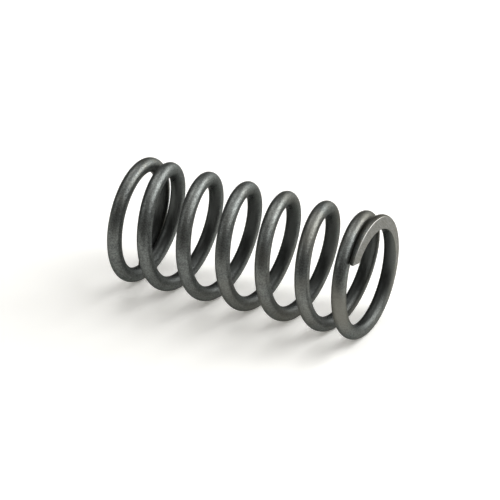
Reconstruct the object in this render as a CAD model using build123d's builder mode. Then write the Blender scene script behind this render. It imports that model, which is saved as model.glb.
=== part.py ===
from build123d import *
import math
import os

# A valve spring: one length of round wire wound right-handed, with both end
# coils closed against their neighbours and ground flat. It stands on its lower
# ground face, at z = 0, and its axis is Z. Sizes are in millimetres.

# The coil
wire_diameter = 3.0
mean_coil_diameter = 22.6   # across the coil, to the middle of the wire
free_length = 53.5          # between the two ground faces, with no load
total_turns = 7.6           # from one tip of the wire to the other
start_angle = 146.0         # degrees from +X to the lower tip

# The two ends, which are alike
closed_turns = 0.55         # of nearly flat winding, counted from the tip
closed_pitch = 1.1          # rise in one turn of that winding
transition_turns = 0.8      # over which the pitch opens to that of the active coils
tip_turns = 0.5             # over which the next coil bends the tip outward
tip_gap = 0.12              # air between the tip and the next coil
tip_thickness = 1.2         # wire left at the tip once its face is ground
shear_angle = 25.0          # slant of the cut end, longer on the outside

# How finely the wire's route is described
points_per_turn = 12

wire_radius = wire_diameter / 2
mean_radius = mean_coil_diameter / 2


def ramp_area(x):
    """The area from 0 to x under a smooth step that climbs from 0 to 1 between 0 and 1."""
    if x <= 0:
        return 0.0
    if x < 1:
        return x**3 - x**4 / 2
    return x - 1 / 2


# One turn from its tip, the wire has risen by its own thickness and the gap.
first_turn_rise = wire_diameter + tip_gap

# What the opening of the pitch adds within that first turn, and by the time
# that it is complete, for each millimetre between closed and active pitch.
opening_in_first_turn = transition_turns * ramp_area((1 - closed_turns) / transition_turns)
opening_in_all = transition_turns * ramp_area(1.0)
opening_after_first_turn = opening_in_all - opening_in_first_turn
end_turns = closed_turns + transition_turns

# The wire's centre starts and finishes this far inside the ground faces. It is
# negative, because grinding takes more than half of the tip.
tip_inset = tip_thickness - wire_radius

# The active pitch is what is left of the free length for the coils between.
centre_rise = free_length - 2 * tip_inset
closed_share = end_turns - 1 - opening_after_first_turn
active_turns = total_turns - 2 * end_turns + 2 * opening_after_first_turn
active_pitch = (centre_rise - 2 * (first_turn_rise + closed_pitch * closed_share)) / active_turns
opening = active_pitch - closed_pitch

# The tip's own slope brings the first turn to its rise.
tip_bend = 2 * (first_turn_rise - closed_pitch - opening * opening_in_first_turn) / tip_turns


def rise_from_tip(turns):
    """How far the wire's centre has risen, so many turns from its tip."""
    bend = tip_bend * (turns - tip_turns * ramp_area(turns / tip_turns))
    open_up = opening * transition_turns * ramp_area((turns - closed_turns) / transition_turns)
    return closed_pitch * turns + bend + open_up


def wire_centre(turns):
    """A point on the wire's centre line, so many turns up from the lower tip."""
    if turns < total_turns / 2:
        height = tip_inset + rise_from_tip(turns)
    else:
        height = free_length - tip_inset - rise_from_tip(total_turns - turns)
    angle = math.radians(start_angle + 360 * turns)
    return Vector(mean_radius * math.cos(angle), mean_radius * math.sin(angle), height)


# Beyond each tip the wire runs on, so that the shear has something to cut.
spare_length = wire_diameter
spare_turns = spare_length / (2 * math.pi * mean_radius)
steps = round(total_turns * points_per_turn)
step_turns = (total_turns + 2 * spare_turns) / steps

# The wire's slope where it is cut, as a rise for each millimetre around.
tip_slope = (closed_pitch + tip_bend) / (2 * math.pi * mean_radius)


def shear_plane(turns, way):
    """Across the wire at a tip: x is outward, y faces the next coil, z leaves the end."""
    centre = wire_centre(turns)
    outward = Vector(centre.X, centre.Y, 0).normalized()
    leaving = Vector(-outward.Y, outward.X, tip_slope).normalized() * way
    slant = math.radians(shear_angle)
    return Plane(
        origin=centre,
        x_dir=outward * math.cos(slant) + leaving * math.sin(slant),
        z_dir=leaving * math.cos(slant) - outward * math.sin(slant),
    )


with BuildPart() as valve_spring:
    # The wire, swept along its route, with its seam on the outside of the coil
    with BuildLine() as route:
        Spline(*[wire_centre(step * step_turns - spare_turns) for step in range(steps + 1)])
    start = route.line @ 0
    with BuildSketch(Plane(origin=start, x_dir=Vector(start.X, start.Y, 0), z_dir=route.line % 0)):
        Circle(wire_radius)
    sweep(is_frenet=True)

    # The tips, sheared off at a slant, up to the middle of the gap below the next coil
    for turns, way in ((0, -1), (total_turns, 1)):
        with Locations(shear_plane(turns, way)):
            with Locations((0, wire_radius + tip_gap / 2, 0)):
                Box(
                    2 * wire_diameter,
                    2 * wire_diameter,
                    2 * spare_length,
                    align=(Align.CENTER, Align.MAX, Align.MIN),
                    mode=Mode.SUBTRACT,
                )

    # Both ends, ground flat and square to the axis
    split(bisect_by=Plane.XY, keep=Keep.TOP)
    split(bisect_by=Plane.XY.offset(free_length), keep=Keep.BOTTOM)

valve_spring.part.label = "valve_spring"

os.makedirs("parts", exist_ok=True)
export_step(valve_spring.part, "parts/valve_spring.step")

print(f"outside diameter {mean_coil_diameter + wire_diameter:.2f}")
print(f"inside diameter {mean_coil_diameter - wire_diameter:.2f}")
print(f"active pitch {active_pitch:.3f}, wire slope at the tips {tip_slope:.4f}")
print(f"wire length {total_turns * 2 * math.pi * mean_radius:.0f}, volume {valve_spring.part.volume:.1f}")
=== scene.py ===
# %% [markdown]
# # A valve spring
# A valve spring is one length of round steel wire, wound into a coil and then
# ground flat at both ends. It lives inside an engine, where it pushes a valve
# shut some twenty times a second. The CAD model gives its sizes and its solid.
# This file gives it a finely divided wire, a steel finish, a floor, a camera
# and some lamps. Everything is in metres, with the coil standing along Z.

# %% Load the CAD model
import math

import bmesh
import bpy
from mathutils import Matrix, Vector


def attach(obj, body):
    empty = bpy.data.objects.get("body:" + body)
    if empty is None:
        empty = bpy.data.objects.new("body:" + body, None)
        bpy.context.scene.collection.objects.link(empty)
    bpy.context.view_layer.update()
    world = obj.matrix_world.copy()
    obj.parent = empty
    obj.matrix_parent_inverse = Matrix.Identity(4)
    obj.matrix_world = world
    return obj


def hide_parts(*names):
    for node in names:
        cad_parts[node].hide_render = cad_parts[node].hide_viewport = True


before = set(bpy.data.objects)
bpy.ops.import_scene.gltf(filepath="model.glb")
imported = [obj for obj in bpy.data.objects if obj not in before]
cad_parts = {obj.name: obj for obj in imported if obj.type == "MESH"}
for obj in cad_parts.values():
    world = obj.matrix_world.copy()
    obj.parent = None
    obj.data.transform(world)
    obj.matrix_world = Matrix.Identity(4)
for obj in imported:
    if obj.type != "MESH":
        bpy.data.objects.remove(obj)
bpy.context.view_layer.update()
mm = 0.001

# %% [markdown]
# ## The route of the wire
# The whole look of a coil comes from the route of its wire. Between the ends
# the pitch is even. Towards each end it falls smoothly, until the last part of
# the coil lies nearly flat against the next one, and the tip itself is bent a
# little so that it clears its neighbour. A formula suits this better than a
# drawn curve, because every point then lies on the same cylinder.

# %% Sizes of the coil
wire_radius = 1.5 * mm
coil_radius = 11.3 * mm          # from the axis to the middle of the wire
free_length = 53.5 * mm
total_turns = 7.6
start_angle = math.radians(146.0)

closed_turns = 0.55              # nearly flat, counted from the tip
closed_pitch = 1.1 * mm
transition_turns = 0.8           # over which the pitch opens
tip_turns = 0.5                  # over which the tip is bent outward
tip_gap = 0.12 * mm
tip_thickness = 1.2 * mm         # what grinding leaves of the tip
shear_slant = math.radians(25.0)


def ramp_area(x):
    """The area from 0 to x under a smooth step that climbs from 0 to 1."""
    if x <= 0:
        return 0.0
    return x**3 - x**4 / 2 if x < 1 else x - 0.5


# %% The pitch of the open coils
# What is left of the free length, once the ends are taken off, sets the pitch.
first_turn = 2 * wire_radius + tip_gap
open_first = transition_turns * ramp_area((1 - closed_turns) / transition_turns)
open_rest = transition_turns / 2 - open_first
end_turns = closed_turns + transition_turns
tip_inset = tip_thickness - wire_radius
closed_rise = first_turn + closed_pitch * (end_turns - 1 - open_rest)
open_turns = total_turns - 2 * end_turns + 2 * open_rest
open_pitch = (free_length - 2 * tip_inset - 2 * closed_rise) / open_turns
opening = open_pitch - closed_pitch
tip_bend = 2 * (first_turn - closed_pitch - opening * open_first) / tip_turns
print(f"pitch of the open coils {open_pitch / mm:.3f} mm")


# %% The middle of the wire, and a frame that travels along it
def rise_from_tip(turns):
    bend = tip_bend * (turns - tip_turns * ramp_area(turns / tip_turns))
    opened = opening * transition_turns * ramp_area((turns - closed_turns) / transition_turns)
    return closed_pitch * turns + bend + opened


def wire_centre(turns):
    """A point in the middle of the wire, so many turns up from the lower tip."""
    if turns < total_turns / 2:
        height = tip_inset + rise_from_tip(turns)
    else:
        height = free_length - tip_inset - rise_from_tip(total_turns - turns)
    angle = start_angle + math.tau * turns
    return Vector((coil_radius * math.cos(angle), coil_radius * math.sin(angle), height))


def wire_frame(turns):
    """A matrix on the wire's middle: x points out of the coil and z along the wire."""
    centre = wire_centre(turns)
    ahead = (wire_centre(turns + 0.001) - wire_centre(turns - 0.001)).normalized()
    out = Vector((centre.x, centre.y, 0)).normalized()
    side = ahead.cross(out)
    return Matrix.Translation(centre) @ Matrix((out, side, ahead)).transposed().to_4x4()


# %% [markdown]
# ## Growing the wire
# A curve with a round bevel would give a wire at once, but its ends couldn't be
# ground. So the wire is grown as a mesh: a circle is made at the lower tip, its
# edge is extruded, and the new ring is carried one step along the route. There
# are enough steps that the coil's outline stays smooth up close.

# %% Extrude a ring along the route
around = 40
steps_per_turn = 90
spare_turns = 0.04               # runs on beyond each tip, to be sheared off
steps = round((total_turns + 2 * spare_turns) * steps_per_turn)
stations = [s * (total_turns + 2 * spare_turns) / steps - spare_turns for s in range(steps + 1)]

wire = bmesh.new()
from_tip = wire.verts.layers.float.new("from_tip")
bmesh.ops.create_circle(wire, segments=around, radius=wire_radius, matrix=wire_frame(stations[0]))
ring = wire.edges[:]
for here, there in zip(stations, stations[1:]):
    grown = bmesh.ops.extrude_edge_only(wire, edges=ring)["geom"]
    ring = [e for e in grown if isinstance(e, bmesh.types.BMEdge)]
    carried = [v for v in grown if isinstance(v, bmesh.types.BMVert)]
    bmesh.ops.transform(wire, matrix=wire_frame(there) @ wire_frame(here).inverted(), verts=carried)
    for v in carried:
        v[from_tip] = min(there, total_turns - there)
print("the wire has", len(wire.faces), "faces")

# %% [markdown]
# ## Shearing and grinding
# The maker shears the wire off at a slant, so each tip is longer on the outside
# of the coil. Then both ends are ground on a wheel until they are flat. The
# ground face is widest at the tip, and runs out where the wire dips under the
# wheel's plane. A plane makes each of these cuts, and the hole that it leaves
# is filled with one face. Each kind of face gets a number for its own finish.

# %% Cut with a plane and fill the hole
PEENED, GROUND, SHEARED, EDGE = range(4)
same_place = 0.001 * mm          # points closer than this are one


def cut_off(mesh, geometry, point, normal, finish):
    """Takes away what lies on the normal's side, and closes the hole with one face.

    The result is the face's area in square millimetres.
    """
    cut = bmesh.ops.bisect_plane(
        mesh, geom=geometry, dist=same_place, plane_co=point, plane_no=normal, clear_outer=True
    )["geom_cut"]
    rim = [e for e in cut if isinstance(e, bmesh.types.BMEdge)]
    face = bmesh.ops.contextual_create(mesh, geom=rim)["faces"][0]
    face.material_index = finish
    return face.calc_area() / mm**2


# %% Shear both tips at a slant
end_rings = 8                    # as far as a slanted cut reaches
end_faces = end_rings * around
for turns, way, faces in ((0, -1, wire.faces[:end_faces]), (total_turns, 1, wire.faces[-end_faces:])):
    standing = wire_frame(turns)
    leaving = standing.col[2].xyz * way
    normal = leaving * math.cos(shear_slant) - standing.col[0].xyz * math.sin(shear_slant)
    edges = dict.fromkeys(e for f in faces for e in f.edges)
    verts = dict.fromkeys(v for f in faces for v in f.verts)
    area = cut_off(wire, [*verts, *edges, *faces], standing.translation, normal, SHEARED)
    print(f"sheared face of {area:.2f} square mm")

# %% Grind both ends flat
for height, way in ((0, -1), (free_length, 1)):
    everything = wire.verts[:] + wire.edges[:] + wire.faces[:]
    area = cut_off(wire, everything, (0, 0, height), (0, 0, way), GROUND)
    print(f"ground face of {area:.2f} square mm")

# %% [markdown]
# ## The edges that grinding leaves
# A ground edge is never quite sharp: it is rubbed bright where the face meets
# the outside of the coil. A narrow bevel catches the light there as the real
# edge does. It stops where the face runs out, because there it would be wider
# than the face itself. The cuts leave some very short edges round their rims,
# which would fold a bevel over. So points that are close together on a rim are
# merged first, and points that lie close beside a rim are welded onto it. The
# cuts make their points in no fixed order, so they are sorted by place, and
# each run merges the same ones.

# %% Sizes of the rims
rim_gap = 0.08 * mm              # rim points closer than this are merged
rim_reach = 0.12 * mm            # points this close beside a rim are welded onto it
bevel_width = 0.06 * mm
least_half_width = 0.25 * mm     # half the face's width, where the bevel stops


# %% Merge the short edges round the cut faces
def rim_edges():
    return [e for e in wire.edges if len({f.material_index for f in e.link_faces}) > 1]


def is_on_rim(vert):
    return len({f.material_index for f in vert.link_faces}) > 1


print("rim edges before merging:", len(rim_edges()))
rim_points = sorted((v for v in wire.verts if is_on_rim(v)), key=lambda v: v.co.to_tuple())
bmesh.ops.remove_doubles(wire, verts=rim_points, dist=rim_gap)
print("rim edges after merging:", len(rim_edges()))

onto_rim = {}
for vert in wire.verts:
    short = [e for e in vert.link_edges if e.calc_length() < rim_reach and is_on_rim(e.other_vert(vert))]
    if short and not is_on_rim(vert):
        onto_rim[vert] = min(short, key=lambda e: e.calc_length()).other_vert(vert)
bmesh.ops.weld_verts(wire, targetmap=onto_rim)
print("welded", len(onto_rim), "points beside the rims onto them")


# %% Bevel the edges of the cut faces
def half_width(vert):
    return abs(math.hypot(vert.co.x, vert.co.y) - coil_radius)


rims = [e for e in rim_edges() if min(half_width(v) for v in e.verts) > least_half_width]
bevel = bmesh.ops.bevel(
    wire, geom=rims, affect="EDGES", offset=bevel_width, segments=2, profile=0.5, material=-1
)
for face in bevel["faces"]:
    face.material_index = EDGE
bmesh.ops.remove_doubles(wire, verts=wire.verts, dist=same_place)
print("bevelled", len(rims), "edges into", len(bevel["faces"]), "faces")

# %% Put objects in the scene
def add_object(name, data):
    made = bpy.data.objects.new(name, data)
    bpy.context.scene.collection.objects.link(made)
    return made


def add_mesh(name, shape):
    """Turns a bmesh into an object, and frees it."""
    mesh = bpy.data.meshes.new(name)
    shape.to_mesh(mesh)
    shape.free()
    return add_object(name, mesh)


# %% Make it a mesh
bmesh.ops.recalc_face_normals(wire, faces=wire.faces)
for face in wire.faces:
    face.smooth = face.material_index in (PEENED, EDGE)
for edge in wire.edges:
    edge.smooth = len({f.material_index for f in edge.link_faces}) == 1

spring = add_mesh("spring_wire", wire)
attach(spring, "root")
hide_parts("valve_spring")
print("triangles:", sum(len(p.vertices) - 2 for p in spring.data.polygons))

# %% [markdown]
# ## Writing finishes as sums
# A finish is a network of nodes, and most of the nodes are plain arithmetic.
# Written as expressions they are far easier to read. Value wraps a socket, and
# each operator on it adds one Math node. Finish holds the material, or the
# world, and its node method adds any other kind of node.

# %% Value and Finish
EDGE_ON = (0.25, 0.25, 0.25, 1)    # a rough skin doesn't brighten where it is seen edge on


class Value:
    def __init__(self, finish, socket):
        self.finish, self.socket = finish, socket

    def math(self, operation, *terms):
        return self.finish.node("Math", {"operation": operation}, dict(enumerate(terms)))

    def __add__(self, other):
        return self.math("ADD", self, other)

    def __mul__(self, other):
        return self.math("MULTIPLY", self, other)

    def __sub__(self, other):
        return self.math("SUBTRACT", self, other)

    def __rsub__(self, other):
        return self.math("SUBTRACT", other, self)

    def __pow__(self, other):
        return self.math("POWER", self, other)

    __radd__ = __add__
    __rmul__ = __mul__

    def ramp(self, low, high):
        """0 below low, 1 above high, and smooth between."""
        return self.finish.node(
            "MapRange", {"interpolation_type": "SMOOTHSTEP"},
            {"Value": self, "From Min": low, "From Max": high},
        )


class Finish:
    def __init__(self, name, among=bpy.data.materials, place="Object"):
        self.material = among.new(name)
        self.material.use_nodes = True
        self.tree = self.material.node_tree
        self.tree.nodes.clear()
        self.place = self.node("TexCoord", out=place)

    def node(self, kind, settings=None, sockets=None, out=0):
        made = self.tree.nodes.new("ShaderNode" + kind)
        for name, value in (settings or {}).items():
            setattr(made, name, value)
        for name, value in (sockets or {}).items():
            if isinstance(value, Value):
                self.tree.links.new(value.socket, made.inputs[name])
            else:
                made.inputs[name].default_value = value
        return Value(self, made.outputs[out]) if made.outputs else made

    def axis(self, letter):
        return self.node("SeparateXYZ", None, {"Vector": self.place}, out=letter)

    def from_axis(self):
        """The distance from the coil's axis, in metres."""
        x, y = self.axis("X"), self.axis("Y")
        return (x * x + y * y) ** 0.5

    def turns_from_tip(self):
        return self.node("Attribute", {"attribute_name": "from_tip"}, out="Fac")

    def noise(self, size, detail=2.0, place=None):
        """Noise between 0 and 1 whose lumps are about this size, in metres."""
        return self.node(
            "TexNoise", None, {"Vector": place or self.place, "Scale": 1 / size, "Detail": detail}
        )

    def mix(self, amount, low, high):
        """A colour between two others."""
        colours = {0: amount, 6: low, 7: high}
        return self.node("Mix", {"data_type": "RGBA"}, colours, out=2)

    def surface(self, height=None, depth=0.0, **sockets):
        """Ends the network with a Principled surface, over a bump of this depth."""
        words = {name.replace("_", " "): value for name, value in sockets.items()}
        if height:
            words["Normal"] = self.node(
                "Bump", None, {"Height": height, "Distance": depth, "Strength": 1.0}
            )
        words["Specular Tint"] = EDGE_ON
        self.end_with(self.node("BsdfPrincipled", None, words))

    def end_with(self, shader, output="OutputMaterial"):
        self.node(output, None, {"Surface": shader})
        print(self.material.name, "is made of", len(self.tree.nodes), "nodes")


def tint(level, red=0.97, blue=0.9):
    """A near-grey from its level on a screen, with its red and blue as shares of its green."""
    green = (level / 255) ** 2.2
    return (green * red, green, green * blue, 1.0)


# %% [markdown]
# ## Shot-peened steel
# A valve spring is blasted with tiny steel shot, which dents its skin all over
# and leaves it dull. The dents are a few tenths of a millimetre across. Heat and
# oil turn it nearly black, yet it still shines as a metal does. So the finish is
# a dark metal with a bowl in its bump for every dent, a fine speckle, and slow
# drifts from a cooler grey to a browner one, more so towards the upper end. The
# inside of the coil is painted darker, as painted shade. Near the tips
# the wire is a little rusty.

# %% The finish of the wire
dent_size = 0.28 * mm
speck_size = 0.3 * mm
mottle_size = 1.6 * mm
drift_size = 7 * mm
dent_depth = 0.035 * mm

peened = Finish("peened_steel")
dents = peened.node(
    "TexVoronoi", {"feature": "SMOOTH_F1"},
    {"Vector": peened.place, "Scale": 1 / dent_size, "Smoothness": 0.6}, out="Distance",
)
specks = peened.noise(speck_size, 2.0)
mottle = peened.noise(mottle_size, 3.0)
drift = peened.noise(drift_size, 1.0)
upward = peened.axis("Z").ramp(0, free_length)
# Painted shade: the inside of the coil is made darker, from the wire's inner side out to its middle.
clear_of_painted_shade = peened.from_axis().ramp(coil_radius - wire_radius, coil_radius)
near_tip = 1 - peened.turns_from_tip().ramp(0.1, 0.9)

shine = specks.ramp(0.35, 0.65) * 0.7 + mottle.ramp(0.3, 0.7) * 0.3
steel = peened.mix(shine, tint(93, 0.94, 0.96), tint(126, 0.94, 0.96))
steel = peened.mix(upward * drift.ramp(0.3, 0.7) * 0.8, steel, tint(111, 1.02, 0.88))
steel = peened.mix(near_tip * mottle.ramp(0.4, 0.65) * 0.5, steel, tint(98, 1.12, 0.74))
# Painted shade: towards the inside of the coil the steel mixes into this darker grey.
steel = peened.mix(clear_of_painted_shade, tint(80, 0.94, 0.96), steel)
peened.surface(
    dents ** 2 + specks * 0.3, dent_depth,
    Base_Color=steel, Metallic=0.93, Roughness=0.49 - shine * 0.13,
)

# %% [markdown]
# ## Ground, sheared and rubbed steel
# Grinding takes the dark skin off, but the faces soon dull again, to a paler
# and browner grey than the wire. The wheel leaves fine straight scratches. The
# sheared tips are torn metal, a little rusty. The outer edge of each ground
# face is rubbed to bare steel, over the first fifth of a turn from the tip.

# %% The finish of the ground faces
scratch_size = 1.2 * mm
scratch_depth = 0.008 * mm
patch_size = 1.5 * mm

scratched = Finish("ground_steel")
along = scratched.node(
    "Mapping", None, {"Vector": scratched.place, "Rotation": (0, 0, 0.6), "Scale": (1, 12, 1)}
)
scratches = scratched.noise(scratch_size, 4.0, along)
patches = scratched.noise(patch_size)
pale = scratched.mix(scratches.ramp(0.3, 0.7), tint(118, 1.0, 0.93), tint(148, 1.0, 0.95))
pale = scratched.mix(patches.ramp(0.45, 0.7) * 0.5, pale, tint(123, 1.04, 0.86))
scratched.surface(
    scratches, scratch_depth,
    Base_Color=pale, Metallic=0.9, Roughness=0.55 - scratches * 0.1,
)

# %% The finish of the sheared tips
tear_size = 0.5 * mm
tear_depth = 0.05 * mm

torn = Finish("sheared_steel")
tears = torn.noise(tear_size, 4.0)
rusty = torn.mix(tears.ramp(0.4, 0.6), tint(50), tint(64, 1.9, 0.6))
torn.surface(tears, tear_depth, Base_Color=rusty, Metallic=0.3, Roughness=0.6)

# %% The finish of the rubbed edges
rubbed = Finish("rubbed_edge")
outside = rubbed.from_axis().ramp(coil_radius, coil_radius + 0.1 * mm)
turns_off = rubbed.turns_from_tip()
bright = outside * turns_off.ramp(0.0, 0.03) * (1 - turns_off.ramp(0.17, 0.22))
bare = rubbed.mix(bright, tint(118), tint(186, 1.0, 0.95))
rubbed.surface(Base_Color=bare, Metallic=0.9, Roughness=0.4)

for finish in (peened, scratched, torn, rubbed):
    spring.data.materials.append(finish.material)

# %% [markdown]
# ## The floor
# The photograph shows the spring lying on its side on white paper. Here the
# coil stands along Z, as the CAD model does, so it is the floor that is turned:
# it is an upright sheet that touches the coils along one side. It glows a little
# where it is seen, directly or in the steel, and so looks white without more
# light on the spring. From behind, the sheet is clear, so that the spring can be
# looked at from there as well.

# %% A sheet of white paper
floor_way = math.radians(-45.38)      # the way that the floor faces
facing = Vector((math.cos(floor_way), math.sin(floor_way), 0))
touching = facing * -(coil_radius + wire_radius)

half_sheet = 1.5                      # from its middle to each side
middle = Vector((0, 0, free_length / 2))

sheet = bmesh.new()
upright = facing.to_track_quat("Z", "Y").to_matrix().to_4x4()
beside_coils = Matrix.Translation(touching + middle) @ upright
bmesh.ops.create_grid(sheet, x_segments=1, y_segments=1, size=half_sheet, matrix=beside_coils)
floor = add_mesh("paper", sheet)
print("the paper faces", [round(c, 3) for c in facing])

# %% The finish of the paper
paper = Finish("white_paper")
from_behind = paper.node("NewGeometry", out="Backfacing")
seen, mirrored, seen_through = (
    paper.node("LightPath", out=f"Is {kind} Ray") for kind in ("Camera", "Glossy", "Transmission")
)
unseen = (1 - seen) * (1 - mirrored) * (1 - seen_through)
lit = paper.node("BsdfDiffuse", None, {"Color": tint(252, 1.0, 0.98)})
glow = paper.node("Emission", None, {"Color": (1.0, 0.97, 0.9, 1), "Strength": 0.21})
glowing = paper.node("AddShader", None, {0: lit, 1: glow})
white = paper.node("MixShader", None, {0: unseen, 1: glowing, 2: lit})
clear = paper.node("BsdfTransparent")
paper.end_with(paper.node("MixShader", None, {0: from_behind, 1: white, 2: clear}))
floor.data.materials.append(paper.material)

# %% [markdown]
# ## The camera
# The photograph is taken from above the near end with a long lens, and its
# frame is rolled so that the coil lies across it. The numbers come from fitting
# the coil's formula to its outline in the photograph.

# %% Camera
aim = Vector((0, 0.000533, 0.026532))
distance = 0.85181
azimuth, elevation, roll = (math.radians(a) for a in (101.0254, 22.3689, 104.1872))
level = math.cos(elevation)
back = Vector((math.sin(azimuth) * level, -math.cos(azimuth) * level, math.sin(elevation)))
turn = (-back).to_track_quat("-Z", "Y") @ Matrix.Rotation(roll, 3, "Z").to_quaternion()

camera = add_object("camera", bpy.data.cameras.new("camera"))
camera.data.lens = 307.7
camera.data.clip_end = 10
camera.rotation_mode = "QUATERNION"
camera.rotation_quaternion = turn
camera.location = aim + back * distance
bpy.context.scene.camera = camera
bpy.context.scene.view_settings.view_transform = "Standard"
print("the camera is at", [round(c, 3) for c in camera.location])

# %% [markdown]
# ## Light
# The shadows fall to the left and are soft, so most of the light comes from wide
# lamps on the right, some of it from behind the coil. A dark metal shows mainly
# what it mirrors. The lamps, and a pale ceiling that faces the paper, draw the
# bright bands along the coils. The rest of the room is dim, and leaves their
# undersides nearly black.

# %% Lamps
lamp_distance = 0.6
picture_right = turn @ Vector((1, 0, 0))
right = (picture_right - facing * picture_right.dot(facing)).normalized()     # along the floor
away = facing.cross(right)                                                    # from the camera


def softbox(name, aside, above, width, height, power):
    """A lamp placed by its angles, aside from the picture's right and above the floor."""
    aside, above = math.radians(aside), math.radians(above)
    along_floor = right * math.cos(aside) + away * math.sin(aside)
    towards = along_floor * math.cos(above) + facing * math.sin(above)
    across = facing.cross(along_floor)
    lamp = bpy.data.lights.new(name, "AREA")
    lamp.shape = "RECTANGLE"
    lamp.size, lamp.size_y, lamp.energy = width, height, power
    made = add_object(name, lamp)
    made.rotation_mode = "QUATERNION"
    made.rotation_quaternion = Matrix((across, towards.cross(across), towards)).transposed().to_quaternion()
    made.location = middle + towards * lamp_distance
    print("lamp", name, "of", power, "W")


# Name, degrees aside and above, width and height in metres, watts
softbox("key", 18, 27, 0.5, 0.35, 2.7)
softbox("low_right", 52, 12, 0.37, 0.3, 1.0)
softbox("high_right", -8, 52, 0.5, 0.4, 1.5)
softbox("behind", 105, 60, 0.4, 0.35, 0.88)
softbox("left", 184, 38, 0.3, 0.25, 0.36)

# %% The world
studio = Finish("studio", bpy.data.worlds, "Generated")
above = studio.node("VectorMath", {"operation": "DOT_PRODUCT"}, {0: studio.place, 1: facing}, out="Value")
room = studio.node("Background", None, {"Color": (1.0, 0.97, 0.92, 1), "Strength": 0.05})
ceiling = studio.node("Background", None, {"Color": (1.0, 0.98, 0.95, 1), "Strength": 0.55})
studio.end_with(
    studio.node("MixShader", None, {0: above.ramp(0.75, 0.92), 1: room, 2: ceiling}), "OutputWorld"
)
bpy.context.scene.world = studio.material
